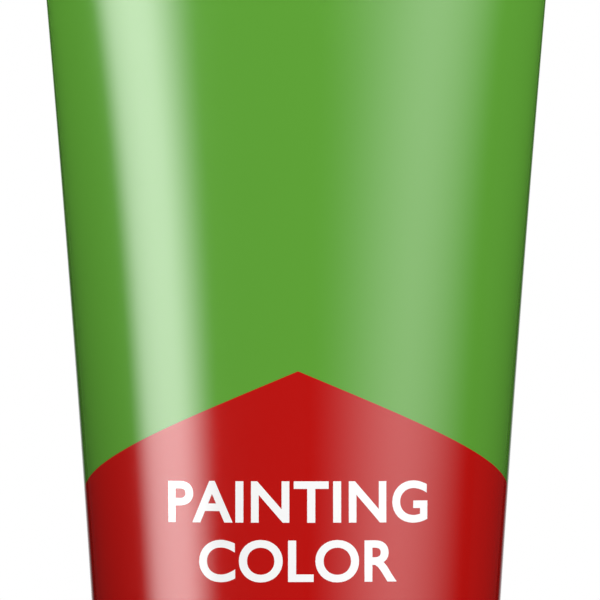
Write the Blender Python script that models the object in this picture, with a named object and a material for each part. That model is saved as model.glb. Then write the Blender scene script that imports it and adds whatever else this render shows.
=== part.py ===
"""A 100 ml squeezable paint tube that stands on its screw cap.

Metres, +Z up. The origin is the middle of the cap's flat end, which rests on the ground.
The front of the print faces -Y, and the seal at the top runs along X.
The neck points down into the cap. Both carry a right-hand thread, so a counter-clockwise
turn of the tube, seen from above, lifts it off the cap by one PITCH a turn.
"""

from math import cos, pi, radians, sin, sqrt

import bmesh
import bpy
from mathutils import Matrix, Vector

MM = 0.001
GAP = 0.3 * MM  # between pieces that touch

# Sleeve: a round tube of laminate, pressed flat at its top end
TUBE_RADIUS = 17.5 * MM
SLEEVE_WALL = 0.5 * MM
SLEEVE_FOOT = 20.5 * MM
SLEEVE_LENGTH = 150.0 * MM  # from the foot to the start of the seal
SEAL_HEIGHT = 6.5 * MM
FLATTEN_START = 1.478  # how late the sleeve starts to flatten above its foot
FLATTEN_END = 0.6  # how bluntly it closes at the seal

# Shoulder and neck
SHOULDER_SLOPE = 0.4545  # rise of the shoulder's cone for each unit of radius
SHOULDER_THICKNESS = 1.5 * MM
SHOULDER_BAND_HEIGHT = 3.0 * MM  # the ring that is welded inside the sleeve
NECK_RADIUS = 6.6 * MM
NECK_BORE = 4.8 * MM
MOUTH_RADIUS = 3.2 * MM
MOUTH_THICKNESS = 1.2 * MM
NECK_END = 3.7 * MM
NECK_ROOT = 14.8 * MM
RONDEL_THICKNESS = 0.5 * MM

# Thread
PITCH = 3.0 * MM
THREAD_HEIGHT = 0.9 * MM
THREAD_ROOT = 0.75 * MM  # half the ridge's width where it leaves the wall
THREAD_CREST = 0.35 * MM  # half its width at the top
THREAD_SUNK = 0.25 * MM  # how deep the ridge starts inside its wall
THREAD_CLEARANCE = 0.3 * MM
NECK_THREAD_START = 5.2 * MM
NECK_THREAD_TURNS = 2.4
CAP_THREAD_START = 4.4 * MM
CAP_THREAD_TURNS = 2.3
THREAD_RUN_OUT = 0.2  # turns over which a thread rises from its wall

# Cap
CAP_HEIGHT = 18.4 * MM
CAP_END_RADIUS = 15.9 * MM
CAP_RIM_RADIUS = 16.5 * MM
CAP_PLATE = 1.6 * MM
CAP_WALL = 1.3 * MM
CAP_CHAMFER = 0.8 * MM
SOCKET_TOP = 13.4 * MM
RIB_COUNT = 72
RIB_HEIGHT = 0.35 * MM
RIB_WIDTH = 0.75 * MM
RIB_FOOT = 1.6 * MM
RIB_TOP = 16.6 * MM
RIB_END_SLOPE = 0.5 * MM
RIB_SUNK = 0.3 * MM

# Liner and foil
LINER_RADIUS = 7.3 * MM
LINER_THICKNESS = 1.0 * MM
FOIL_RADIUS = 6.3 * MM
FOIL_THICKNESS = 0.2 * MM

# Paint
PAINT_VOLUME = 100e-6
PAINT_STEP = 2.0 * MM  # height of one slice of the fill

SIDES = 48  # facets of a round piece
SLEEVE_RINGS = 18
SMOOTH_ANGLE = radians(35)

SOCKET_RADIUS = NECK_RADIUS + THREAD_HEIGHT + THREAD_CLEARANCE
BORE_RADIUS = TUBE_RADIUS - SLEEVE_WALL
SEAL_START = SLEEVE_FOOT + SLEEVE_LENGTH
BAND_RADIUS = BORE_RADIUS - 1.2 * GAP
BAND_TOP = SLEEVE_FOOT + SHOULDER_BAND_HEIGHT


def clear_scene():
    for item in list(bpy.data.objects):
        bpy.data.objects.remove(item, do_unlink=True)


def make_material(name, color, roughness, metallic=0.0):
    material = bpy.data.materials.new(name)
    material.use_nodes = True
    shader = material.node_tree.nodes["Principled BSDF"]
    shader.inputs["Base Color"].default_value = (*color, 1.0)
    shader.inputs["Roughness"].default_value = roughness
    shader.inputs["Metallic"].default_value = metallic
    material.diffuse_color = (*color, 1.0)
    return material


def make_object(name, bm, material=None):
    """Turn a closed bmesh into an object with its faces pointing out."""
    bmesh.ops.recalc_face_normals(bm, faces=bm.faces)
    mesh = bpy.data.meshes.new(name)
    bm.to_mesh(mesh)
    bm.free()
    mesh.shade_smooth()
    mesh.set_sharp_from_angle(angle=SMOOTH_ANGLE)
    if material:
        mesh.materials.append(material)
    item = bpy.data.objects.new(name, mesh)
    bpy.context.scene.collection.objects.link(item)
    return item


def hide_tool(item):
    item.hide_render = True
    item.display_type = "WIRE"


def join_to(item, tool):
    """Fuse a tool body onto an object with a Boolean union."""
    union = item.modifiers.new("join_" + tool.name, "BOOLEAN")
    union.operation = "UNION"
    union.solver = "EXACT"
    union.object = tool
    hide_tool(tool)


def skin(bm, rings, closed=False):
    """Join each ring of vertices to the next one; a ring of one vertex is a point on the axis."""
    pairs = list(zip(rings, rings[1:]))
    if closed:
        pairs.append((rings[-1], rings[0]))
    for lower, upper in pairs:
        for side in range(SIDES):
            corners = []
            for ring, step in ((lower, side), (lower, side + 1), (upper, side + 1), (upper, side)):
                corners.append(ring[step % len(ring)])
            bm.faces.new(list(dict.fromkeys(corners)))


def round_ring(bm, radius, z):
    if radius == 0:
        return [bm.verts.new((0, 0, z))]
    turns = [2 * pi * side / SIDES for side in range(SIDES)]
    return [bm.verts.new((radius * cos(turn), radius * sin(turn), z)) for turn in turns]


def turned_body(outline, closed):
    """Spin an outline of (radius, height) points about Z."""
    bm = bmesh.new()
    skin(bm, [round_ring(bm, radius, z) for radius, z in outline], closed)
    return bm


def disc(name, radius, bottom, thickness, material):
    top = bottom + thickness
    outline = [(0, bottom), (radius, bottom), (radius, top), (0, top)]
    return make_object(name, turned_body(outline, closed=False), material)


def helical_ridge(name, start, turns, wall_radius, outward):
    """A thread ridge of trapezoid section that rises out of a round wall and sinks back into it."""
    way = 1 if outward else -1
    steps = round(turns * SIDES)
    bm = bmesh.new()
    sections = []
    for step in range(steps + 1):
        turn = step / SIDES
        rise = min(1.0, turn / THREAD_RUN_OUT, (turns - turn) / THREAD_RUN_OUT)
        root = wall_radius - way * THREAD_SUNK
        crest = wall_radius + way * (THREAD_HEIGHT * rise - THREAD_SUNK / 2 * (1 - rise))
        corners = ((root, -THREAD_ROOT), (crest, -THREAD_CREST), (crest, THREAD_CREST), (root, THREAD_ROOT))
        middle = start + PITCH * turn
        angle = 2 * pi * turn
        section = []
        for radius, shift in corners:
            point = (radius * cos(angle), radius * sin(angle), middle + shift)
            section.append(bm.verts.new(point))
        sections.append(section)
    for first, second in zip(sections, sections[1:]):
        for corner in range(4):
            after = (corner + 1) % 4
            bm.faces.new((first[corner], first[after], second[after], second[corner]))
    bm.faces.new(sections[0])
    bm.faces.new(reversed(sections[-1]))
    return make_object(name, bm)


# ---------------------------------------------------------------- sleeve shape


def ellipse_perimeter(half_width, half_depth):
    """Ramanujan's formula, good to 0.05% even when the ellipse is flat."""
    spread = ((half_width - half_depth) / (half_width + half_depth)) ** 2
    return pi * (half_width + half_depth) * (1 + 3 * spread / (10 + sqrt(4 - 3 * spread)))


def bore_section(z):
    """Half width and half depth of the sleeve's bore: flatter towards the seal, the same all round."""
    share = min(max((z - SLEEVE_FOOT) / SLEEVE_LENGTH, 0.0), 1.0)
    half_depth = BORE_RADIUS * (1 - share**FLATTEN_START) ** FLATTEN_END
    low, high = half_depth, 2 * BORE_RADIUS
    for _ in range(50):
        middle = (low + high) / 2
        if ellipse_perimeter(middle, half_depth) < 2 * pi * BORE_RADIUS:
            low = middle
        else:
            high = middle
    return low, half_depth


def sleeve_ring(bm, z, offset):
    """A ring of vertices at height z, offset outwards from the sleeve's bore."""
    half_width, half_depth = bore_section(z)
    ring = []
    for side in range(SIDES):
        turn = 2 * pi * side / SIDES
        point = Vector((half_width * cos(turn), half_depth * sin(turn), z))
        normal = Vector((half_depth * cos(turn), half_width * sin(turn), 0))
        if side % (SIDES // 2) == 0:
            normal = Vector((cos(turn), 0, 0))
        ring.append(bm.verts.new(point + offset * normal.normalized()))
    return ring


def sleeve_heights():
    """Ring heights from the foot to the seal, closer together near the seal."""
    shares = [step / SLEEVE_RINGS for step in range(SLEEVE_RINGS + 1)]
    return [SLEEVE_FOOT + SLEEVE_LENGTH * (1 - (1 - share) ** 1.6) for share in shares]


def close_flat(bm, ring):
    """Fill a flat ring with a ladder of faces from its front to its back."""
    for side in range(SIDES // 2):
        corners = (ring[side], ring[side + 1], ring[-side - 1], ring[-side % SIDES])
        bm.faces.new(list(dict.fromkeys(corners)))


def make_sleeve(material):
    bm = bmesh.new()
    outside = [sleeve_ring(bm, z, SLEEVE_WALL) for z in sleeve_heights()]
    seal_top = [bm.verts.new(vert.co + Vector((0, 0, SEAL_HEIGHT))) for vert in outside[-1]]
    inside = [sleeve_ring(bm, z, 0) for z in sleeve_heights()]
    skin(bm, inside[::-1] + outside + [seal_top])
    close_flat(bm, seal_top)
    bmesh.ops.remove_doubles(bm, verts=inside[-1], dist=0.001 * MM)
    return make_object("tube_sleeve", bm, material)


# ---------------------------------------------------------------- shoulder, rondel, paint


def shoulder_height(radius):
    """Height of the shoulder's lower face, the one outside the tube."""
    return NECK_ROOT + (radius - NECK_RADIUS) * SHOULDER_SLOPE


def shoulder_outline():
    band_inside = BAND_RADIUS - 1.2 * MM
    lip_radius = TUBE_RADIUS - 0.05 * MM
    lip_top = SLEEVE_FOOT - GAP
    mouth_back = NECK_END + MOUTH_THICKNESS
    outside = [
        (BAND_RADIUS - 0.3 * MM, BAND_TOP),
        (BAND_RADIUS, BAND_TOP - 0.5 * MM),
        (BAND_RADIUS, lip_top),
        (lip_radius, lip_top),
        (lip_radius, lip_top - 0.25 * MM),
        (lip_radius - 0.25 * MM, shoulder_height(lip_radius) + 0.05 * MM),
        (lip_radius - 0.7 * MM, shoulder_height(lip_radius - 0.7 * MM)),
        (NECK_RADIUS + 1.0 * MM, shoulder_height(NECK_RADIUS + 1.0 * MM)),
        (NECK_RADIUS + 0.3 * MM, NECK_ROOT),
        (NECK_RADIUS, NECK_ROOT - 0.4 * MM),
        (NECK_RADIUS, NECK_END + 0.5 * MM),
        (NECK_RADIUS - 0.4 * MM, NECK_END),
    ]
    inside = [
        (MOUTH_RADIUS, NECK_END),
        (MOUTH_RADIUS, mouth_back),
        (NECK_BORE, mouth_back + 0.7 * MM),
        (NECK_BORE, shoulder_height(NECK_BORE) + SHOULDER_THICKNESS),
        (band_inside, shoulder_height(band_inside) + SHOULDER_THICKNESS),
        (band_inside, BAND_TOP),
    ]
    return outside + inside


def make_shoulder(material):
    head = make_object("shoulder_head", turned_body(shoulder_outline(), closed=True), material)
    thread = helical_ridge("neck_thread", NECK_THREAD_START, NECK_THREAD_TURNS, NECK_RADIUS, outward=True)
    join_to(head, thread)
    return head


def rondel_height(radius):
    return shoulder_height(radius) + SHOULDER_THICKNESS + 1.1 * GAP


def make_rondel(material):
    inner, outer = NECK_BORE + 0.6 * MM, BAND_RADIUS - 1.2 * MM - GAP
    outline = [
        (inner, rondel_height(inner)),
        (outer, rondel_height(outer)),
        (outer, rondel_height(outer) + RONDEL_THICKNESS),
        (inner, rondel_height(inner) + RONDEL_THICKNESS),
    ]
    return make_object("barrier_rondel", turned_body(outline, closed=True), material)


def paint_foot_outline():
    """The paint in the neck and above the shoulder, up to where it fills the sleeve."""
    mouth_back = NECK_END + MOUTH_THICKNESS
    column = NECK_BORE - GAP
    outer = BAND_RADIUS - 1.2 * MM - 1.2 * GAP
    cover = RONDEL_THICKNESS + 1.2 * GAP
    return [
        (0, NECK_END),
        (MOUTH_RADIUS - GAP, NECK_END),
        (MOUTH_RADIUS - GAP, mouth_back + GAP),
        (column, mouth_back + 0.7 * MM + GAP),
        (column, rondel_height(column) + cover),
        (outer, rondel_height(outer) + cover),
        (outer, BAND_TOP + GAP),
    ]


def round_volume(outline):
    """Volume of a turned body from its outline, as a stack of cones."""
    total = 0
    for (first, low), (second, high) in zip(outline, outline[1:]):
        total += pi / 3 * (high - low) * (first**2 + first * second + second**2)
    return total


def paint_heights():
    """Heights of the paint's rings in the sleeve, up to the level that PAINT_VOLUME reaches."""
    foot = BAND_TOP + 2 * GAP
    left = PAINT_VOLUME - round_volume(paint_foot_outline())
    heights = [foot]
    while True:
        half_width, half_depth = bore_section(heights[-1] + PAINT_STEP / 2)
        area = pi * (half_width - GAP) * (half_depth - GAP)
        if area * PAINT_STEP >= left:
            heights.append(heights[-1] + left / area)
            return heights
        heights.append(heights[-1] + PAINT_STEP)
        left -= area * PAINT_STEP


def make_paint(material):
    bm = bmesh.new()
    rings = [round_ring(bm, radius, z) for radius, z in paint_foot_outline()]
    heights = paint_heights()
    for z in heights[:-1:4] + heights[-1:]:
        rings.append(sleeve_ring(bm, z, -1.2 * GAP))
    skin(bm, rings)
    close_flat(bm, rings[-1])
    return make_object("paint", bm, material)


# ---------------------------------------------------------------- cap


def cap_outline():
    skirt_inside = CAP_RIM_RADIUS - CAP_WALL
    socket_outside = SOCKET_RADIUS + CAP_WALL
    return [
        (0, 0),
        (CAP_END_RADIUS - CAP_CHAMFER, 0),
        (CAP_END_RADIUS, CAP_CHAMFER),
        (CAP_RIM_RADIUS, CAP_HEIGHT - 0.3 * MM),
        (CAP_RIM_RADIUS - 0.3 * MM, CAP_HEIGHT),
        (skirt_inside, CAP_HEIGHT),
        (CAP_END_RADIUS - CAP_WALL, CAP_PLATE),
        (socket_outside, CAP_PLATE),
        (socket_outside, SOCKET_TOP - 0.3 * MM),
        (socket_outside - 0.3 * MM, SOCKET_TOP),
        (SOCKET_RADIUS + 0.4 * MM, SOCKET_TOP),
        (SOCKET_RADIUS, SOCKET_TOP - 0.4 * MM),
        (SOCKET_RADIUS, CAP_PLATE),
        (0, CAP_PLATE),
    ]


def cap_wall_radius(z):
    share = (z - CAP_CHAMFER) / (CAP_HEIGHT - CAP_CHAMFER)
    return CAP_END_RADIUS + (CAP_RIM_RADIUS - CAP_END_RADIUS) * share


def make_ribs():
    """Grip ribs round the cap, each a bar of trapezoid section with sloping ends."""
    bm = bmesh.new()
    levels = [
        (RIB_FOOT, -RIB_SUNK),
        (RIB_FOOT + RIB_END_SLOPE, RIB_HEIGHT),
        (RIB_TOP - RIB_END_SLOPE, RIB_HEIGHT),
        (RIB_TOP, -RIB_SUNK),
    ]
    for rib in range(RIB_COUNT):
        spin = Matrix.Rotation(2 * pi * (rib + 0.5) / RIB_COUNT, 3, "Z")
        backs, fronts = [], []
        for z, proud in levels:
            wall = cap_wall_radius(z)
            for side in (-1, 1):
                back = Vector((wall - 2 * RIB_SUNK, side * RIB_WIDTH / 2, z))
                front = Vector((wall + proud, side * RIB_WIDTH / 4, z))
                backs.append(bm.verts.new(spin @ back))
                fronts.append(bm.verts.new(spin @ front))
        for level in range(len(levels) - 1):
            low, high = 2 * level, 2 * level + 2
            bm.faces.new((fronts[low], fronts[low + 1], fronts[high + 1], fronts[high]))
            bm.faces.new((backs[low], backs[high], backs[high + 1], backs[low + 1]))
            bm.faces.new((backs[low], fronts[low], fronts[high], backs[high]))
            bm.faces.new((backs[low + 1], backs[high + 1], fronts[high + 1], fronts[low + 1]))
        bm.faces.new((backs[0], backs[1], fronts[1], fronts[0]))
        bm.faces.new((backs[-2], fronts[-2], fronts[-1], backs[-1]))
    return make_object("cap_ribs", bm)


def make_cap(material):
    cap = make_object("cap", turned_body(cap_outline(), closed=False), material)
    thread = helical_ridge("cap_thread", CAP_THREAD_START, CAP_THREAD_TURNS, SOCKET_RADIUS, outward=False)
    # the cap's ridge runs half a pitch above the neck's, so the two are in mesh
    turns_ahead = (CAP_THREAD_START - NECK_THREAD_START - PITCH / 2) / PITCH
    thread.rotation_euler.z = 2 * pi * turns_ahead
    join_to(cap, thread)
    join_to(cap, make_ribs())
    return cap


def build():
    clear_scene()
    print_green = make_material("green_print", (0.115, 0.352, 0.040), 0.25)
    head_white = make_material("head_plastic", (0.80, 0.80, 0.78), 0.40)
    rondel_grey = make_material("rondel_laminate", (0.60, 0.61, 0.63), 0.35)
    foil_silver = make_material("foil", (0.80, 0.80, 0.80), 0.30, metallic=1.0)
    paint_red = make_material("gouache", (0.485, 0.010, 0.008), 0.60)
    cap_white = make_material("cap_plastic", (0.82, 0.82, 0.81), 0.38)
    liner_white = make_material("liner_foam", (0.70, 0.70, 0.68), 0.70)

    liner_bottom = CAP_PLATE + GAP
    foil_bottom = liner_bottom + LINER_THICKNESS + GAP
    make_cap(cap_white)
    disc("cap_liner", LINER_RADIUS, liner_bottom, LINER_THICKNESS, liner_white)
    disc("foil_seal", FOIL_RADIUS, foil_bottom, FOIL_THICKNESS, foil_silver)
    make_shoulder(head_white)
    make_rondel(rondel_grey)
    make_paint(paint_red)
    make_sleeve(print_green)


build()
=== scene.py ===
from math import cos, pi, radians, sin, tan

import bmesh
import bpy
import numpy as np
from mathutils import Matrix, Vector


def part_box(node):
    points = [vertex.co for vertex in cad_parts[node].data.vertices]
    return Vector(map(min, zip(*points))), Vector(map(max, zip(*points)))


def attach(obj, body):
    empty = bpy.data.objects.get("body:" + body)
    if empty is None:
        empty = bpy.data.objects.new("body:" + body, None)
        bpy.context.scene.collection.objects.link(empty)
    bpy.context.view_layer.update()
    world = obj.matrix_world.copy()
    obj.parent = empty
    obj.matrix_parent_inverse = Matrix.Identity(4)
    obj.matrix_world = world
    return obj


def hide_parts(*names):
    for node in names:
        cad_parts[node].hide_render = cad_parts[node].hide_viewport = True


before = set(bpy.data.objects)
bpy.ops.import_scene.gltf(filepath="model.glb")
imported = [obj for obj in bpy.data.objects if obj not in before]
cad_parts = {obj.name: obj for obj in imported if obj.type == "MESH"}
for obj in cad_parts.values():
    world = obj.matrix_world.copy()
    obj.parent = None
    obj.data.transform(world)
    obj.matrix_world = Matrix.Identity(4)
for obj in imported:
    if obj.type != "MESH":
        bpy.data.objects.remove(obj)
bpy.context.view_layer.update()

MM = 0.001

# The sleeve's shape, as the CAD model has it: the same law, with the sizes read from the frame
FLATTEN_START, FLATTEN_END = 1.478, 0.6
SLEEVE_WALL = 0.5 * MM
SEAL_HEIGHT = 6.5 * MM
SLEEVE_LOW, SLEEVE_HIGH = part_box("tube_sleeve")
CAP_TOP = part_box("cap")[1][2]
TUBE_RADIUS = SLEEVE_HIGH[1]
BORE_RADIUS = TUBE_RADIUS - SLEEVE_WALL
SLEEVE_FOOT, TOTAL_HEIGHT = SLEEVE_LOW[2], SLEEVE_HIGH[2]
SEAL_START = TOTAL_HEIGHT - SEAL_HEIGHT
SLEEVE_LENGTH = SEAL_START - SLEEVE_FOOT
PERIMETER = 2 * pi * TUBE_RADIUS

# The cap, neck and thread, with the CAD model's sizes
CAP_END_RADIUS, CAP_RIM_RADIUS = 15.9 * MM, 16.5 * MM
CAP_PLATE, CAP_WALL, SOCKET_TOP = 1.6 * MM, 1.3 * MM, 13.4 * MM
RIB_COUNT, RIB_HEIGHT = 72, 0.35 * MM
RIB_FOOT, RIB_TOP = 1.6 * MM, 16.6 * MM
NECK_RADIUS, NECK_BORE, MOUTH_RADIUS = 6.6 * MM, 4.8 * MM, 3.2 * MM
NECK_END, NECK_ROOT = 3.7 * MM, 14.8 * MM
SHOULDER_SLOPE, SHOULDER_THICKNESS = 0.4545, 1.5 * MM
PITCH, THREAD_HEIGHT, THREAD_RUN_OUT = 3.0 * MM, 0.9 * MM, 0.2
THREAD_FOOT, THREAD_CREST = 0.66 * MM, 0.3 * MM  # half the ridge's width at its wall and at its top
NECK_THREAD_START, NECK_THREAD_TURNS = 5.2 * MM, 2.4
CAP_THREAD_START, CAP_THREAD_TURNS = 4.4 * MM, 2.3
THREAD_PLAY = 0.3 * MM
SOCKET_RADIUS = NECK_RADIUS + THREAD_HEIGHT + THREAD_PLAY
RIB_HALF_FOOT, RIB_FLANK = 0.28, 0.16  # shares of the ribs' pitch

# How finely the meshes are divided
SLEEVE_COLUMNS, BORE_ROWS, RED_ROWS, GREEN_ROWS, SEAL_ROWS = 720, 20, 26, 44, 22
BORE_CROWDING, GREEN_CROWDING = 1.6, 1.7  # more than 1 crowds the rows together near the seal
LEVEL_COUNT, ARC_COUNT, TURN_COUNT = 401, 129, 2001
NECK_COLUMNS, DISC_COLUMNS = 288, 160
PANEL_COLUMNS, PANEL_ROWS = 40, 60
SAME_WALL = 0.01 * MM  # radii closer than this belong to one wall
LONG_STEP = 6 * MM  # the longest step along a plain wall
WELD = 0.0005 * MM  # points closer than this become one

# The print
GREEN, RED, BARE = 0, 1, 2  # the sleeve's material slots
PRINT_SHIFT = 0.2 * MM  # the artwork sits a touch right of the tube's middle
PEAK_HEIGHT = 108.3 * MM
PEAK_SLOPE = 0.412  # fall of the red panel's edge for each unit of arc
SIDE_DROOP = 0.08  # how much further, as a share, the edge has fallen at the tube's sides
LINE_ONE = dict(text="PAINTING", foot=93.4 * MM, width=26.6 * MM, spacing=1.06)
LINE_TWO = dict(text="COLOR", foot=87.6 * MM, width=20.0 * MM, spacing=1.04)
LETTER_HEIGHT, LETTER_BOLD = 4.15 * MM, 0.022
LETTER_CUT_X, LETTER_CUT_Y = 0.4, 0.8  # mm between the cuts that let the letters bend
INK = 0.02 * MM  # how far the ink stands out, and how far it sinks in

# The camera: level with the middle of the print, looking along +Y through a long lens
VIEW_WIDTH = 59.85 * MM
VIEW_MIDDLE = 115.3 * MM
VIEW_SHIFT = 0.39 * MM  # the tube stands a little left of the picture's middle
LENS, SENSOR = 500.0, 36.0

# How bright the plain white studio is as fill light, and in the tube's gloss
FILL_LIGHT, GLOSS_LIGHT = 0.1, 0.02
GLOW_FOOT, GLOW_TOP = 20, 172  # tube heights in mm where a softbox has its low and its high power
SLANT_START, SLANT_END = 0.1, 0.5  # shares across a softbox where its slant ends dimming it
FLOOR_RADIUS, FLOOR_FADE_START, FLOOR_FADE_END = 1.6, 0.12, 0.5  # metres

# Finishes: Blender's noise mostly stays between these values
NOISE_LOW, NOISE_HIGH = 0.3, 0.7
BROAD_GRAIN = 30  # how much coarser the grain in the colour is than the grain in the relief
ROUGHNESS_CHANGE = 0.12
PLASTIC_IOR = 1.5


# ---------------------------------------------------------------- materials


def new_material(name):
    """A material, with its nodes, its links and its shader."""
    material = bpy.data.materials.new(name)
    material.use_nodes = True
    tree = material.node_tree
    return material, tree.nodes, tree.links, tree.nodes["Principled BSDF"]


def noise(nodes, links, coords, scale, detail=3.0):
    """Noise with a scale in features to the metre."""
    texture = nodes.new("ShaderNodeTexNoise")
    texture.inputs["Scale"].default_value = scale
    texture.inputs["Detail"].default_value = detail
    links.new(coords, texture.inputs["Vector"])
    return texture.outputs["Fac"]


def stretched(nodes, links, value, low, high):
    """Map a noise value from its usual range onto low to high."""
    node = nodes.new("ShaderNodeMapRange")
    node.inputs["From Min"].default_value = NOISE_LOW
    node.inputs["From Max"].default_value = NOISE_HIGH
    node.inputs["To Min"].default_value = low
    node.inputs["To Max"].default_value = high
    links.new(value, node.inputs["Value"])
    return node.outputs["Result"]


def tinted(nodes, links, color, value, change):
    """The colour, made up to change darker or lighter by a value around 0.5."""
    mix = nodes.new("ShaderNodeMix")
    mix.data_type = "RGBA"
    mix.inputs["A"].default_value = (*[c * (1 - change) for c in color], 1)
    mix.inputs["B"].default_value = (*[min(1, c * (1 + change)) for c in color], 1)
    links.new(value, mix.inputs["Factor"])
    return mix.outputs["Result"]


def surface(
    name, color, roughness, grain, bump, tint=0.02, coat=0.0, coat_roughness=0.05, metallic=0.0
):
    """A procedural finish: fine grain in roughness and relief, which grain and bump size in metres,
    and a broader one in colour."""
    material, nodes, links, shader = new_material(name)
    place = nodes.new("ShaderNodeTexCoord").outputs["Object"]
    fine = noise(nodes, links, place, 1 / grain)
    broad = noise(nodes, links, place, 1 / (grain * BROAD_GRAIN), detail=2.0)
    links.new(tinted(nodes, links, color, broad, tint), shader.inputs["Base Color"])
    smoothest, roughest = roughness * (1 - ROUGHNESS_CHANGE), roughness * (1 + ROUGHNESS_CHANGE)
    links.new(stretched(nodes, links, fine, smoothest, roughest), shader.inputs["Roughness"])
    relief = nodes.new("ShaderNodeBump")
    relief.inputs["Distance"].default_value = bump
    relief.inputs["Strength"].default_value = 1.0
    links.new(fine, relief.inputs["Height"])
    links.new(relief.outputs["Normal"], shader.inputs["Normal"])
    shader.inputs["Metallic"].default_value = metallic
    shader.inputs["IOR"].default_value = PLASTIC_IOR
    shader.inputs["Coat Weight"].default_value = coat
    shader.inputs["Coat Roughness"].default_value = coat_roughness
    material.diffuse_color = (*color, 1)
    return material


# ---------------------------------------------------------------- mesh helpers


def mesh_object(name, verts, faces, materials, face_slots=None, sharp=35):
    """Make an object from arrays. face_slots says which material each face takes, and faces that
    meet at more than sharp degrees meet in a crease."""
    mesh = bpy.data.meshes.new(name)
    mesh.from_pydata([tuple(v) for v in verts], [], faces)
    for material in materials:
        mesh.materials.append(material)
    if face_slots is not None:
        mesh.polygons.foreach_set("material_index", np.array(face_slots, np.int32))
    bm = bmesh.new()
    bm.from_mesh(mesh)
    bmesh.ops.remove_doubles(bm, verts=bm.verts, dist=WELD)
    bmesh.ops.recalc_face_normals(bm, faces=bm.faces)
    bm.to_mesh(mesh)
    bm.free()
    mesh.shade_smooth()
    mesh.set_sharp_from_angle(angle=radians(sharp))
    piece = bpy.data.objects.new(name, mesh)
    bpy.context.scene.collection.objects.link(piece)
    return piece


def wrap_faces(rows, columns, close_rows=False):
    """Quads of a grid that closes on itself round its columns, and up its rows too if asked."""
    faces = []
    last = rows if close_rows else rows - 1
    for row in range(last):
        low, high = row * columns, (row + 1) % rows * columns
        for column in range(columns):
            after = (column + 1) % columns
            faces.append((low + column, low + after, high + after, high + column))
    return faces


def rounded(corners, steps=5):
    """An outline of (radius, height) points from corners of (radius, height, fillet), where a corner
    without a fillet stays sharp."""
    outline = []
    points = [Vector(corner[:2]) for corner in corners]
    for index, point in enumerate(points):
        fillet = corners[index][2] if len(corners[index]) > 2 else 0
        before = points[index - 1] - point
        after = points[(index + 1) % len(points)] - point
        if not fillet or not before.length or not after.length:
            outline.append(tuple(point))
            continue
        angle = before.angle(after)
        reach = min(fillet / tan(angle / 2), before.length * 0.49, after.length * 0.49)
        start = point + before.normalized() * reach
        end = point + after.normalized() * reach
        for step in range(steps + 1):
            share = step / steps
            curve = (1 - share) ** 2 * start + 2 * share * (1 - share) * point + share**2 * end
            outline.append(tuple(curve))
    return outline


def dense(start, end, count):
    """Points evenly spaced from start to one step before end."""
    return [tuple(Vector(start).lerp(Vector(end), step / count)) for step in range(count)]


# ---------------------------------------------------------------- the sleeve's shape


def half_depth_at(z):
    """Half depth of the bore at each height."""
    share = np.clip((z - SLEEVE_FOOT) / SLEEVE_LENGTH, 0, 1)
    inside_seal = 0.01 * MM
    return np.maximum(BORE_RADIUS * (1 - share**FLATTEN_START) ** FLATTEN_END, inside_seal)


def half_width_at(half_depth):
    """Half width of the ellipse that keeps the round bore's perimeter."""
    low, high = half_depth.copy(), np.full_like(half_depth, 2 * BORE_RADIUS)
    for _ in range(50):
        middle = (low + high) / 2
        bulge = ((middle - half_depth) / (middle + half_depth)) ** 2
        perimeter = pi * (middle + half_depth) * (1 + 3 * bulge / (10 + np.sqrt(4 - 3 * bulge)))
        short = perimeter < 2 * pi * BORE_RADIUS
        low, high = np.where(short, middle, low), np.where(short, high, middle)
    return low


LEVELS = SLEEVE_FOOT + SLEEVE_LENGTH * (1 - (1 - np.linspace(0, 1, LEVEL_COUNT)) ** 2)
LEVEL_DEPTH = half_depth_at(LEVELS)
LEVEL_WIDTH = half_width_at(LEVEL_DEPTH)
ARC_STEPS = np.linspace(0, 1, ARC_COUNT)


def quarter_angles():
    """For each level, the ellipse's angle at even steps of arc from its side to its front."""
    turn = np.linspace(0, pi / 2, TURN_COUNT)
    middle = (turn[1:] + turn[:-1]) / 2
    table = []
    for width, depth in zip(LEVEL_WIDTH, LEVEL_DEPTH):
        steps = np.hypot(width * np.sin(middle), depth * np.cos(middle))
        arc = np.concatenate(([0], np.cumsum(steps)))
        table.append(np.interp(ARC_STEPS, arc / arc[-1], turn))
    return np.array(table)


QUARTER_ANGLES = quarter_angles()


def wrapped(around):
    """An arc from the front's middle, as the same place from -0.5 to 0.5 turn."""
    return (around + 0.5) % 1.0 - 0.5


def ellipse_angle(around, level):
    """The ellipse's angle from its side, at an arc from the front's middle and a level."""
    from_side = np.abs(0.25 - np.abs(around)) * 4 * (ARC_COUNT - 1)
    low_level = np.clip(np.floor(level).astype(int), 0, LEVEL_COUNT - 2)
    low_step = np.clip(np.floor(from_side).astype(int), 0, ARC_COUNT - 2)
    up, along = level - low_level, from_side - low_step
    here = QUARTER_ANGLES[low_level, low_step] * (1 - along)
    here = here + QUARTER_ANGLES[low_level, low_step + 1] * along
    above = QUARTER_ANGLES[low_level + 1, low_step] * (1 - along)
    above = above + QUARTER_ANGLES[low_level + 1, low_step + 1] * along
    return here * (1 - up) + above * up


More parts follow.
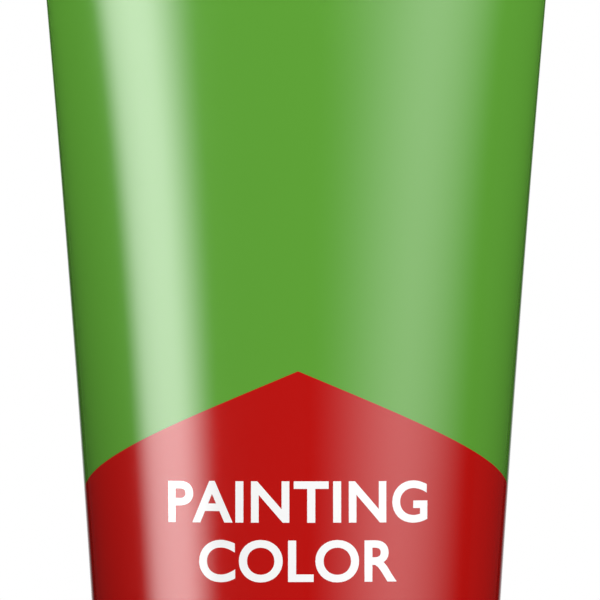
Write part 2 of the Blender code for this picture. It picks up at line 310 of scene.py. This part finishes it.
def on_sleeve(around, z, proud):
    """Points on the sleeve: around is the arc to the right from the front's middle, in turns, z the
    height, and proud how far the point stands out from the printed surface."""
    around, z, proud = np.broadcast_arrays(around, z, proud)
    around = wrapped(around)
    open_z = np.minimum(z, SEAL_START)
    level = np.interp(open_z, LEVELS, np.arange(LEVEL_COUNT))
    turn = ellipse_angle(around, level)
    width = np.interp(level, np.arange(LEVEL_COUNT), LEVEL_WIDTH)
    depth = half_depth_at(open_z)
    normal_x, normal_y = depth * np.cos(turn), width * np.sin(turn)
    offset = (SLEEVE_WALL + proud) / np.hypot(normal_x, normal_y)
    side = np.where(around < 0, -1, 1)
    face = np.where(np.abs(around) < 0.25, -1, 1)
    x = side * (width * np.cos(turn) + normal_x * offset)
    y = face * (depth * np.sin(turn) + normal_y * offset)
    return np.stack((x, y, np.broadcast_to(z, x.shape)), axis=-1)


def panel_edge(around):
    """Height of the red panel's upper edge: a peak at the front, one at the back, and a slight
    extra droop towards the sides. around is in turns."""
    from_front = np.abs(wrapped(around))
    from_peak = np.minimum(from_front, 0.5 - from_front) * 4
    return PEAK_HEIGHT - PEAK_SLOPE * PERIMETER / 4 * from_peak * (1 + SIDE_DROOP * from_peak**3)


# ---------------------------------------------------------------- sleeve


def seam_relief(around):
    """The lap of the laminate's side seam, which runs up the middle of the back."""
    from_back = (0.5 - np.abs(wrapped(around))) * PERIMETER
    half_lap, ramp, step = 0.9 * MM, 0.15 * MM, 0.045 * MM
    return step * np.clip((half_lap - from_back) / ramp, 0, 1)


def knurl_relief(around, z):
    """The heat seal's pressed ribs, which fade out at its foot, its top and its ends."""
    ribs_around, depth, ramp = 120, 0.10 * MM, 0.4 * MM
    margin, side_margin = 0.6 * MM, 1.2 * MM
    inside = np.minimum(z - SEAL_START - margin, TOTAL_HEIGHT - margin - z) / ramp
    from_edge = np.abs(0.25 - np.abs(wrapped(around))) * PERIMETER
    fade = np.clip(inside, 0, 1) * np.clip((from_edge - side_margin) / ramp, 0, 1)
    wave = 0.5 - 0.5 * np.cos(2 * pi * from_edge * ribs_around / PERIMETER)
    return -depth * fade * wave


def columns_around():
    """Arc positions of the sleeve's columns: even ones, and some on the ramps of the seam's lap."""
    even = np.linspace(-0.5, 0.5, SLEEVE_COLUMNS, endpoint=False)
    ramps = np.array([0.72, 0.80, 0.88, 0.96]) * MM / PERIMETER
    return np.unique(np.round(np.concatenate((even, -0.5 + ramps, 0.5 - ramps)), 7))


def sleeve_rows(around):
    """Heights of the outside's rows, and the material slot between each row and the next."""
    edge = panel_edge(around - PRINT_SHIFT / PERIMETER)
    rows = []
    for share in np.linspace(0, 1, RED_ROWS, endpoint=False):
        rows.append((SLEEVE_FOOT + (edge - SLEEVE_FOOT) * share, RED))
    for share in np.linspace(0, 1, GREEN_ROWS, endpoint=False):
        rows.append((edge + (SEAL_START - edge) * (1 - (1 - share) ** GREEN_CROWDING), GREEN))
    for share in np.linspace(0, 1, SEAL_ROWS):
        rows.append((np.full_like(around, SEAL_START + SEAL_HEIGHT * share), GREEN))
    return rows


def make_sleeve(materials):
    """The laminate wall, printed outside and bare inside, closed along the seal."""
    around = columns_around()
    grid, slots = [], []
    for share in np.linspace(1, 0, BORE_ROWS):
        z = SLEEVE_FOOT + SLEEVE_LENGTH * (1 - (1 - share) ** BORE_CROWDING)
        grid.append(on_sleeve(around, z, -SLEEVE_WALL))
        slots.append(BARE)
    bevel = 0.12 * MM
    grid.append(on_sleeve(around, SLEEVE_FOOT, -bevel))
    slots.append(RED)
    rows = sleeve_rows(around)
    rows[0] = (rows[0][0] + bevel, RED)
    for z, slot in rows:
        grid.append(on_sleeve(around, z, seam_relief(around) + knurl_relief(around, z)))
        slots.append(slot)
    columns = len(around)
    faces = wrap_faces(len(grid), columns)
    face_slots = [slots[index // columns] for index in range(len(faces))]
    top = (len(grid) - 1) * columns
    faces.append(tuple(range(top, top + columns)))
    face_slots.append(BARE)
    return mesh_object("sleeve", np.concatenate(grid), faces, materials, face_slots, sharp=50)


# ---------------------------------------------------------------- lettering


def letter_outline(line):
    """A line of bold letters as a flat mesh: X along the line and Y up, at the font's own size."""
    curve = bpy.data.curves.new("letters", "FONT")
    curve.body = line["text"]
    curve.size = 1.0
    curve.offset = LETTER_BOLD
    curve.space_character = line["spacing"]
    curve.resolution_u = 8
    text = bpy.data.objects.new("letters", curve)
    bpy.context.scene.collection.objects.link(text)
    bpy.context.view_layer.update()
    mesh = bpy.data.meshes.new_from_object(text.evaluated_get(bpy.context.evaluated_depsgraph_get()))
    bpy.data.objects.remove(text)
    bpy.data.curves.remove(curve)
    return mesh


def real_size_letters(line):
    """The line's letters at their real size, centred on X and with their foot at Y 0."""
    mesh = letter_outline(line)
    bm = bmesh.new()
    bm.from_mesh(mesh)
    bpy.data.meshes.remove(mesh)
    bmesh.ops.remove_doubles(bm, verts=bm.verts, dist=1e-4)
    low = min(vert.co.x for vert in bm.verts)
    wide = max(vert.co.x for vert in bm.verts) - low
    base = min(vert.co.y for vert in bm.verts)
    tall = max(vert.co.y for vert in bm.verts) - base
    for vert in bm.verts:
        vert.co.x = (vert.co.x - low - wide / 2) * line["width"] / wide
        vert.co.y = (vert.co.y - base) * LETTER_HEIGHT / tall
    return bm


def cut_letters(bm, line):
    """Cut the letters into small faces, so that they can follow the sleeve's curve."""
    across, up = int(line["width"] / (LETTER_CUT_X * MM)), int(LETTER_HEIGHT / (LETTER_CUT_Y * MM))
    planes = []
    for cut in range(-across // 2, across // 2 + 1):
        planes.append(((cut * LETTER_CUT_X * MM, 0, 0), (1, 0, 0)))
    for cut in range(1, up + 1):
        planes.append(((0, cut * LETTER_CUT_Y * MM, 0), (0, 1, 0)))
    for point, normal in planes:
        everything = bm.verts[:] + bm.edges[:] + bm.faces[:]
        bmesh.ops.bisect_plane(bm, geom=everything, plane_co=point, plane_no=normal)
    bm.verts.index_update()


def make_letters(name, line, ink):
    """Lay one line of letters on the sleeve as a thin film of ink."""
    bm = real_size_letters(line)
    cut_letters(bm, line)
    flat = np.array([vert.co for vert in bm.verts])
    arc = (flat[:, 0] + PRINT_SHIFT) / PERIMETER
    height = line["foot"] + flat[:, 1]
    outer = on_sleeve(arc, height, INK)
    inner = on_sleeve(arc, height, -INK)
    count = len(flat)
    faces = [tuple(vert.index for vert in face.verts) for face in bm.faces]
    walls = []
    for edge in bm.edges:
        if edge.is_boundary:
            first, second = (vert.index for vert in edge.verts)
            walls.append((first, second, second + count, first + count))
    bm.free()
    return mesh_object(name, np.concatenate((outer, inner)), faces + walls, [ink], sharp=30)


# ---------------------------------------------------------------- turned parts


def eased(share):
    """A share from 0 to 1 that starts and ends gently."""
    return share * share * (3 - 2 * share)


def no_relief(radius, z, angles):
    """A plain wall."""
    return np.zeros_like(angles)


def thread_ridge(angles, z, start, turns, ahead):
    """How far a thread stands out of its wall at each angle of one height, from 0 to 1. It starts at
    the height start and the angle ahead."""
    ridge = np.zeros_like(angles)
    first = ((angles - ahead) / (2 * pi)) % 1.0
    for whole in range(int(turns) + 1):
        turn = first + whole
        run_out = np.clip(np.minimum(turn, turns - turn) / THREAD_RUN_OUT, 0, 1)
        off = np.abs(z - (start + PITCH * turn))
        flank = np.clip((THREAD_FOOT - off) / (THREAD_FOOT - THREAD_CREST), 0, 1)
        ridge = np.maximum(ridge, run_out * eased(flank))
    return ridge


def split_outline(outline, step_for):
    """Split an outline's stretches into steps no longer than step_for(start, end)."""
    points = []
    for start, end in zip(outline, outline[1:]):
        length = (Vector(end) - Vector(start)).length
        points += dense(start, end, max(1, round(length / step_for(start, end))))
    return points + [outline[-1]]


def spin(name, outline, angles, relief, materials, closed=False, sharp=35):
    """Turn an outline about Z; relief(radius, z, angles) is how far each point moves out, in metres."""
    grid = []
    for radius, z in outline:
        radii = radius + relief(radius, z, angles)
        row = (radii * np.cos(angles), radii * np.sin(angles), np.full_like(angles, z))
        grid.append(np.stack(row, axis=-1))
    faces = wrap_faces(len(grid), len(angles), close_rows=closed)
    return mesh_object(name, np.concatenate(grid), faces, materials, sharp=sharp)


def even_angles(count):
    """Evenly spaced columns for a turned part."""
    return np.linspace(0, 2 * pi, count, endpoint=False)


def rib_angles():
    """Columns of the cap: eight to each grip rib, closest together on its flanks."""
    phases = np.array([-0.5, -0.28, -0.2, -0.12, 0, 0.12, 0.2, 0.28])
    ribs = np.arange(RIB_COUNT)[:, None] + 0.5
    return ((ribs + phases) * 2 * pi / RIB_COUNT).ravel()


def cap_relief(radius, z, angles):
    """Grip ribs on the cap's outer wall, and the thread inside its socket."""
    if radius > CAP_END_RADIUS - 0.05 * MM and z < CAP_TOP:
        phase = np.abs((angles * RIB_COUNT / (2 * pi)) % 1.0 - 0.5)
        flank = np.clip((RIB_HALF_FOOT - phase) / RIB_FLANK, 0, 1)
        end_ramp = 0.5 * MM
        ends = np.clip(min(z - RIB_FOOT, RIB_TOP - z) / end_ramp, 0, 1)
        return RIB_HEIGHT * ends * eased(flank)
    if abs(radius - SOCKET_RADIUS) < SAME_WALL:
        ahead = 2 * pi * (CAP_THREAD_START - NECK_THREAD_START - PITCH / 2) / PITCH
        ridge = thread_ridge(angles, z, CAP_THREAD_START, CAP_THREAD_TURNS, ahead)
        return -THREAD_HEIGHT * ridge
    return no_relief(radius, z, angles)


def cap_step(start, end):
    """The longest step between two corners of the cap: short along its thread and its ribs."""
    upright = abs(start[0] - end[0]) < 0.1 * abs(start[1] - end[1])
    if upright and abs(start[0] - SOCKET_RADIUS) < SAME_WALL:
        return 0.25 * MM
    return 0.4 * MM if upright and start[0] > CAP_END_RADIUS - 0.1 * MM else LONG_STEP


def make_cap(plastic):
    """A cap with a small moulding mark in its end, a ribbed skirt, and a threaded socket inside."""
    skirt_inside = CAP_RIM_RADIUS - CAP_WALL
    socket_outside = SOCKET_RADIUS + CAP_WALL
    corners = [
        (0, 0.35 * MM),
        (0.7 * MM, 0.35 * MM, 0.2 * MM),
        (1.3 * MM, 0, 0.2 * MM),
        (CAP_END_RADIUS, 0, 0.9 * MM),
        (CAP_RIM_RADIUS, CAP_TOP, 0.35 * MM),
        (skirt_inside, CAP_TOP, 0.2 * MM),
        (CAP_END_RADIUS - CAP_WALL, CAP_PLATE, 0.8 * MM),
        (socket_outside, CAP_PLATE, 0.5 * MM),
        (socket_outside, SOCKET_TOP, 0.3 * MM),
        (SOCKET_RADIUS, SOCKET_TOP, 0.4 * MM),
        (SOCKET_RADIUS, CAP_PLATE, 0.15 * MM),
        (0, CAP_PLATE),
    ]
    outline = split_outline(rounded(corners), cap_step)
    return spin("screw_cap", outline, rib_angles(), cap_relief, [plastic])


def neck_relief(radius, z, angles):
    """The thread round the neck."""
    if abs(radius - NECK_RADIUS) > SAME_WALL:
        return no_relief(radius, z, angles)
    return THREAD_HEIGHT * thread_ridge(angles, z, NECK_THREAD_START, NECK_THREAD_TURNS, 0)


def neck_step(start, end):
    """The longest step between two corners of the head: short along the neck's thread."""
    upright = abs(start[0] - end[0]) < SAME_WALL
    return 0.22 * MM if upright and abs(start[0] - NECK_RADIUS) < SAME_WALL else LONG_STEP


def shoulder_height(radius):
    """Height of the shoulder's outside face."""
    return NECK_ROOT + (radius - NECK_RADIUS) * SHOULDER_SLOPE


def make_head(plastic):
    """The shoulder, the threaded neck with its mouth, and the band that is welded inside the sleeve."""
    band_radius, band_top = BORE_RADIUS - 0.36 * MM, SLEEVE_FOOT + 3.0 * MM
    band_inside = band_radius - 1.2 * MM
    lip_radius, lip_top = TUBE_RADIUS - 0.05 * MM, SLEEVE_FOOT - 0.3 * MM
    corners = [
        (band_radius, band_top, 0.4 * MM),
        (band_radius, lip_top),
        (lip_radius, lip_top, 0.08 * MM),
        (lip_radius, lip_top - 0.3 * MM, 0.3 * MM),
        (lip_radius - 0.6 * MM, shoulder_height(lip_radius - 0.6 * MM), 0.3 * MM),
        (NECK_RADIUS, NECK_ROOT, 0.8 * MM),
        (NECK_RADIUS, NECK_END, 0.4 * MM),
        (MOUTH_RADIUS, NECK_END, 0.2 * MM),
        (MOUTH_RADIUS, NECK_END + 1.2 * MM, 0.2 * MM),
        (NECK_BORE, NECK_END + 1.9 * MM, 0.3 * MM),
        (NECK_BORE, shoulder_height(NECK_BORE) + SHOULDER_THICKNESS, 0.4 * MM),
        (band_inside, shoulder_height(band_inside) + SHOULDER_THICKNESS, 0.4 * MM),
        (band_inside, band_top, 0.3 * MM),
    ]
    outline = split_outline(rounded(corners), neck_step)
    angles = even_angles(NECK_COLUMNS)
    return spin("shoulder_and_neck", outline, angles, neck_relief, [plastic], closed=True)


def make_liner(foam):
    """A foam disc, dented in a ring where the neck bears on it."""
    (_, _, low), (radius, _, high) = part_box("cap_liner")
    dent = high - 0.14 * MM
    corners = [
        (0, low),
        (radius, low, 0.25 * MM),
        (radius, high, 0.35 * MM),
        (NECK_RADIUS + 0.1 * MM, high, 0.15 * MM),
        (NECK_RADIUS - 0.4 * MM, dent, 0.15 * MM),
        (NECK_BORE, dent, 0.15 * MM),
        (NECK_BORE - 0.5 * MM, high, 0.15 * MM),
        (0, high),
    ]
    return spin("foam_liner", rounded(corners), even_angles(DISC_COLUMNS), no_relief, [foam])


def make_foil(metal):
    """The peel-off seal over the mouth, embossed with four fine rings."""
    (_, _, low), (radius, _, high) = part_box("foil_seal")
    face, half_ring, fillet = low + 0.05 * MM, 0.25 * MM, 0.1 * MM
    corners = [(0, face)]
    for ring in (1.2 * MM, 2.4 * MM, 3.6 * MM, 4.8 * MM):
        corners.append((ring - half_ring, face, fillet))
        corners.append((ring, low, fillet))
        corners.append((ring + half_ring, face, fillet))
    corners += [(radius, face, 0.03 * MM), (radius, high, 0.05 * MM), (0, high)]
    return spin("peel_foil", rounded(corners), even_angles(DISC_COLUMNS), no_relief, [metal])


# ---------------------------------------------------------------- room, light and camera


def smooth_ramp(nodes, links, value, low, high):
    """0 below low, 1 above high, and a smooth change between."""
    node = nodes.new("ShaderNodeMapRange")
    node.interpolation_type = "SMOOTHSTEP"
    node.inputs["From Min"].default_value = low
    node.inputs["From Max"].default_value = high
    links.new(value, node.inputs["Value"])
    return node.outputs["Result"]


def math_node(nodes, links, operation, *values):
    """The result of an operation on values that are floats or other nodes' sockets."""
    node = nodes.new("ShaderNodeMath")
    node.operation = operation
    for socket, value in zip(node.inputs, values):
        if isinstance(value, float):
            socket.default_value = value
        else:
            links.new(value, socket)
    return node.outputs["Value"]


def panel_glow(name, low_power, high_power, rise, fall, slant):
    """Light of a softbox that fades towards its two sides: rise and fall are (start, end) as shares
    across it, and slant is the share by which its first side is dimmer, apart from the fade."""
    material = bpy.data.materials.new(name)
    material.use_nodes = True
    nodes, links = material.node_tree.nodes, material.node_tree.links
    nodes.clear()
    place = nodes.new("ShaderNodeUVMap")
    place.uv_map = "panel"
    parts = nodes.new("ShaderNodeSeparateXYZ")
    links.new(place.outputs["UV"], parts.inputs["Vector"])
    across, upward = parts.outputs["X"], parts.outputs["Y"]
    start = smooth_ramp(nodes, links, across, *rise)
    end = smooth_ramp(nodes, links, across, *fall)
    profile = math_node(nodes, links, "MULTIPLY", start, math_node(nodes, links, "SUBTRACT", 1.0, end))
    slope = smooth_ramp(nodes, links, across, SLANT_START, SLANT_END)
    gain = math_node(nodes, links, "MULTIPLY_ADD", slope, slant, 1.0 - slant)
    profile = math_node(nodes, links, "MULTIPLY", profile, gain)
    power = math_node(nodes, links, "MULTIPLY_ADD", upward, high_power - low_power, low_power)
    glow = nodes.new("ShaderNodeEmission")
    links.new(math_node(nodes, links, "MULTIPLY", profile, power), glow.inputs["Strength"])
    out = nodes.new("ShaderNodeOutputMaterial")
    links.new(glow.outputs["Emission"], out.inputs["Surface"])
    return material


def panel_side(edges, side, level):
    """Bearing and height of a softbox's first or second side, where it lights a tube height."""
    levels = [row[0] for row in edges]
    return np.array([np.interp(level, levels, [row[side][k] for row in edges]) for k in (0, 1)])


def panel_grid(edges, reach):
    """A softbox's points, row by row, and the place of each: its share across, and its share of the
    way from the low power to the high."""
    verts, places = [], []
    for level in np.linspace(edges[0][0], edges[-1][0], PANEL_ROWS + 1):
        start, end = panel_side(edges, 1, level), panel_side(edges, 2, level)
        upward = max(0.0, (level - GLOW_FOOT) / (GLOW_TOP - GLOW_FOOT))
        for share in np.linspace(0, 1, PANEL_COLUMNS + 1):
            bearing, height = start + (end - start) * share
            bearing = radians(bearing)
            verts.append((reach * sin(bearing), -reach * cos(bearing), height * MM))
            places.append((share, upward))
    return verts, places


def panel_faces():
    """Quads between the points of a softbox."""
    faces = []
    wide = PANEL_COLUMNS + 1
    for row in range(PANEL_ROWS):
        for column in range(PANEL_COLUMNS):
            corner = row * wide + column
            faces.append((corner, corner + 1, corner + wide + 1, corner + wide))
    return faces


def make_panel(name, edges, glow, reach=300 * MM):
    """A curved softbox round the tube, seen only in glossy surfaces. edges lists, from low to high,
    the tube height in mm that each row lights, and for the row's two ends the bearing in degrees, to
    the right of the front, and the height in mm."""
    verts, places = panel_grid(edges, reach)
    mesh = bpy.data.meshes.new(name)
    mesh.from_pydata(verts, [], panel_faces())
    layer = mesh.uv_layers.new(name="panel")
    for loop in mesh.loops:
        layer.data[loop.index].uv = places[loop.vertex_index]
    mesh.materials.append(glow)
    panel = bpy.data.objects.new(name, mesh)
    bpy.context.scene.collection.objects.link(panel)
    panel.visible_camera = False
    panel.visible_diffuse = False
    panel.visible_shadow = False
    panel.visible_transmission = False


def floor_material():
    """Pale and matt, but clear beyond the fade and from below."""
    material, nodes, links, shader = new_material("pale_floor")
    shader.inputs["Base Color"].default_value = (0.86, 0.86, 0.86, 1)
    shader.inputs["Roughness"].default_value = 0.6
    shader.inputs["Specular IOR Level"].default_value = 0.2
    place = nodes.new("ShaderNodeTexCoord").outputs["Object"]
    distance = nodes.new("ShaderNodeVectorMath")
    distance.operation = "LENGTH"
    links.new(place, distance.inputs[0])
    length = distance.outputs["Value"]
    rim = smooth_ramp(nodes, links, length, FLOOR_FADE_START, FLOOR_FADE_END)
    below = nodes.new("ShaderNodeNewGeometry").outputs["Backfacing"]
    fade = math_node(nodes, links, "MAXIMUM", rim, below)
    clear = nodes.new("ShaderNodeBsdfTransparent")
    mix = nodes.new("ShaderNodeMixShader")
    links.new(fade, mix.inputs["Fac"])
    links.new(shader.outputs["BSDF"], mix.inputs[1])
    links.new(clear.outputs["BSDF"], mix.inputs[2])
    links.new(mix.outputs["Shader"], nodes["Material Output"].inputs["Surface"])
    return material


def make_floor():
    """A pale round floor that fades into the background and is clear from below."""
    bm = bmesh.new()
    bmesh.ops.create_circle(bm, cap_ends=True, segments=96, radius=FLOOR_RADIUS)
    mesh = bpy.data.meshes.new("floor")
    bm.to_mesh(mesh)
    bm.free()
    mesh.materials.append(floor_material())
    floor = bpy.data.objects.new("floor", mesh)
    bpy.context.scene.collection.objects.link(floor)
    floor.visible_diffuse = False
    floor.visible_glossy = False
    floor.visible_shadow = False


def make_world():
    """A white studio: bright to the camera, gentle as fill light, and dim in the tube's gloss."""
    world = bpy.data.worlds.new("studio")
    world.use_nodes = True
    nodes, links = world.node_tree.nodes, world.node_tree.links
    nodes.clear()
    path = nodes.new("ShaderNodeLightPath")
    gloss = math_node(nodes, links, "MULTIPLY", path.outputs["Is Glossy Ray"], GLOSS_LIGHT - FILL_LIGHT)
    plain = math_node(nodes, links, "MULTIPLY", path.outputs["Is Camera Ray"], 1.0 - FILL_LIGHT)
    seen = math_node(nodes, links, "ADD", gloss, plain)
    background = nodes.new("ShaderNodeBackground")
    background.inputs["Color"].default_value = (1, 1, 1, 1)
    links.new(math_node(nodes, links, "ADD", seen, FILL_LIGHT), background.inputs["Strength"])
    out = nodes.new("ShaderNodeOutputWorld")
    links.new(background.outputs["Background"], out.inputs["Surface"])
    bpy.context.scene.world = world


def add_light(name, bearing, rise, distance, size, strength, aim=VIEW_MIDDLE, spread=180):
    """A soft lamp, unseen in gloss, at a bearing to the right of the front and a rise, both in degrees,
    aimed at a height on the tube. A white surface that faces it looks as bright as strength says,
    where the lamp spreads its light all round."""
    lamp = bpy.data.lights.new(name, "AREA")
    lamp.shape = "DISK"
    lamp.size = size
    lamp.spread = radians(spread)
    lamp.energy = strength * pi**2 * distance**2
    light = bpy.data.objects.new(name, lamp)
    bearing, rise = radians(bearing), radians(rise)
    way = Vector((sin(bearing) * cos(rise), -cos(bearing) * cos(rise), sin(rise)))
    light.location = Vector((0, 0, aim)) + way * distance
    light.rotation_euler = way.to_track_quat("Z", "Y").to_euler()
    light.visible_glossy = False
    bpy.context.scene.collection.objects.link(light)


def make_camera():
    """A long lens in front of the tube, level with the middle of the picture."""
    data = bpy.data.cameras.new("camera")
    data.lens, data.sensor_width = LENS, SENSOR
    data.clip_start, data.clip_end = 0.05, 20
    camera = bpy.data.objects.new("camera", data)
    camera.location = (VIEW_SHIFT, -VIEW_WIDTH * LENS / SENSOR, VIEW_MIDDLE)
    camera.rotation_euler = (pi / 2, 0, 0)
    bpy.context.scene.collection.objects.link(camera)
    bpy.context.scene.camera = camera


# ---------------------------------------------------------------- the scene


def print_material(name, color, varnish=1.0):
    """Ink on laminate under a clear varnish."""
    grain, bump = 0.5 * MM, 0.0006 * MM
    return surface(name, color, 0.15, grain, bump, tint=0.012, coat=varnish, coat_roughness=0.04)


def make_pieces():
    """Build every piece, hang it on the body it rides, and hide the CAD node it replaces."""
    green = print_material("green_print", (0.112, 0.352, 0.036))
    red = print_material("red_print", (0.488, 0.0060, 0.0045), varnish=0.85)
    white = print_material("white_ink", (0.955, 0.96, 0.955))
    bare = surface("bare_laminate", (0.70, 0.70, 0.69), 0.35, 0.4 * MM, 0.004 * MM)
    sleeve = make_sleeve([green, red, bare])
    upper = make_letters("letters_upper", LINE_ONE, white)
    lower = make_letters("letters_lower", LINE_TWO, white)
    cap_plastic = surface("cap_plastic", (0.86, 0.86, 0.85), 0.36, 0.25 * MM, 0.004 * MM, tint=0.015)
    cap = make_cap(cap_plastic)
    head_plastic = surface("head_plastic", (0.84, 0.84, 0.81), 0.30, 0.3 * MM, 0.003 * MM, tint=0.015)
    head = make_head(head_plastic)
    liner_foam = surface("liner_foam", (0.78, 0.78, 0.76), 0.75, 0.12 * MM, 0.03 * MM, tint=0.05)
    liner = make_liner(liner_foam)
    foil_metal = surface("foil", (0.86, 0.86, 0.87), 0.26, 0.6 * MM, 0.01 * MM, metallic=1.0)
    foil = make_foil(foil_metal)
    rows = [
        (sleeve, "tube", "tube_sleeve", "printed_laminate"),
        (cap, "cap", "cap", "cap_plastic"),
        (head, "tube", "shoulder_head", "head_plastic"),
        (liner, "liner", "cap_liner", "liner_foam"),
        (foil, "tube", "foil_seal", "foil"),
        (upper, "tube", None, "printed_laminate"),
        (lower, "tube", None, "printed_laminate"),
    ]
    for piece, body, node, finish in rows:
        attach(piece, body)
        if node:
            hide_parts(node)


def dress_node(name, material):
    """Give a carried-over CAD node its finish."""
    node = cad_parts[name]
    node.data.materials.clear()
    node.data.materials.append(material)


def make_studio():
    """Softboxes for the gloss, left, right and behind, and soft lamps for the colour."""
    left = [
        (-200, (-100, -200), (-42, -200)),
        (20, (-92, 12), (-38, 20)),
        (110, (-67, 119), (-22, 161)),
        (172, (-36, 245), (-8, 325)),
    ]
    right = [
        (-200, (3, -200), (114, -200)),
        (20, (3, 22), (114, 10)),
        (110, (3, 170), (80, 107)),
        (172, (3, 340), (36, 240)),
    ]
    backdrop = [(-200, (140, -200), (220, -200)), (200, (140, 400), (220, 400))]
    strip = [(-200, (172, -200), (188, -200)), (200, (172, 400), (188, 400))]
    left_glow = panel_glow("left_glow", 4.0, 6.65, (0, 0.3), (0.57, 0.95), 0.35)
    make_panel("left_softbox", left, left_glow)
    right_glow = panel_glow("right_glow", 0.86, 2.56, (0, 0.45), (0.43, 0.93), 0.0)
    make_panel("right_softbox", right, right_glow)
    backdrop_glow = panel_glow("backdrop_glow", 0.6, 0.6, (0.1, 0.35), (0.65, 0.9), 0.0)
    make_panel("backdrop", backdrop, backdrop_glow)
    strip_glow = panel_glow("strip_glow", 3.0, 3.0, (0, 0.4), (0.6, 1), 0.0)
    make_panel("back_strip", strip, strip_glow, reach=290 * MM)
    add_light("key", 10, 27, 1.6, 0.4, 0.96)
    add_light("overhead", 0, 80, 1.2, 0.9, 0.2)
    add_light("below", 0, -80, 1.2, 0.9, 0.5)
    add_light("left_rear", -150, 20, 1.2, 0.6, 0.25)
    add_light("right_rear", 150, 20, 1.2, 0.6, 0.22)
    add_light("left_edge", -115, 35, 0.5, 0.1, 0.026, aim=180 * MM, spread=24)
    add_light("right_edge", 120, 35, 0.5, 0.1, 0.015, aim=180 * MM, spread=24)
    add_light("behind", 180, 30, 1.2, 0.8, 0.22)
    make_world()
    make_floor()
    make_camera()
    bpy.context.scene.view_settings.view_transform = "Standard"


make_pieces()
rondel_laminate = surface("rondel_laminate", (0.58, 0.59, 0.61), 0.35, 0.3 * MM, 0.004 * MM)
dress_node("barrier_rondel", rondel_laminate)
gouache = surface("gouache", (0.47, 0.012, 0.009), 0.45, 1.2 * MM, 0.05 * MM, tint=0.06, coat=0.4)
dress_node("paint", gouache)
make_studio()
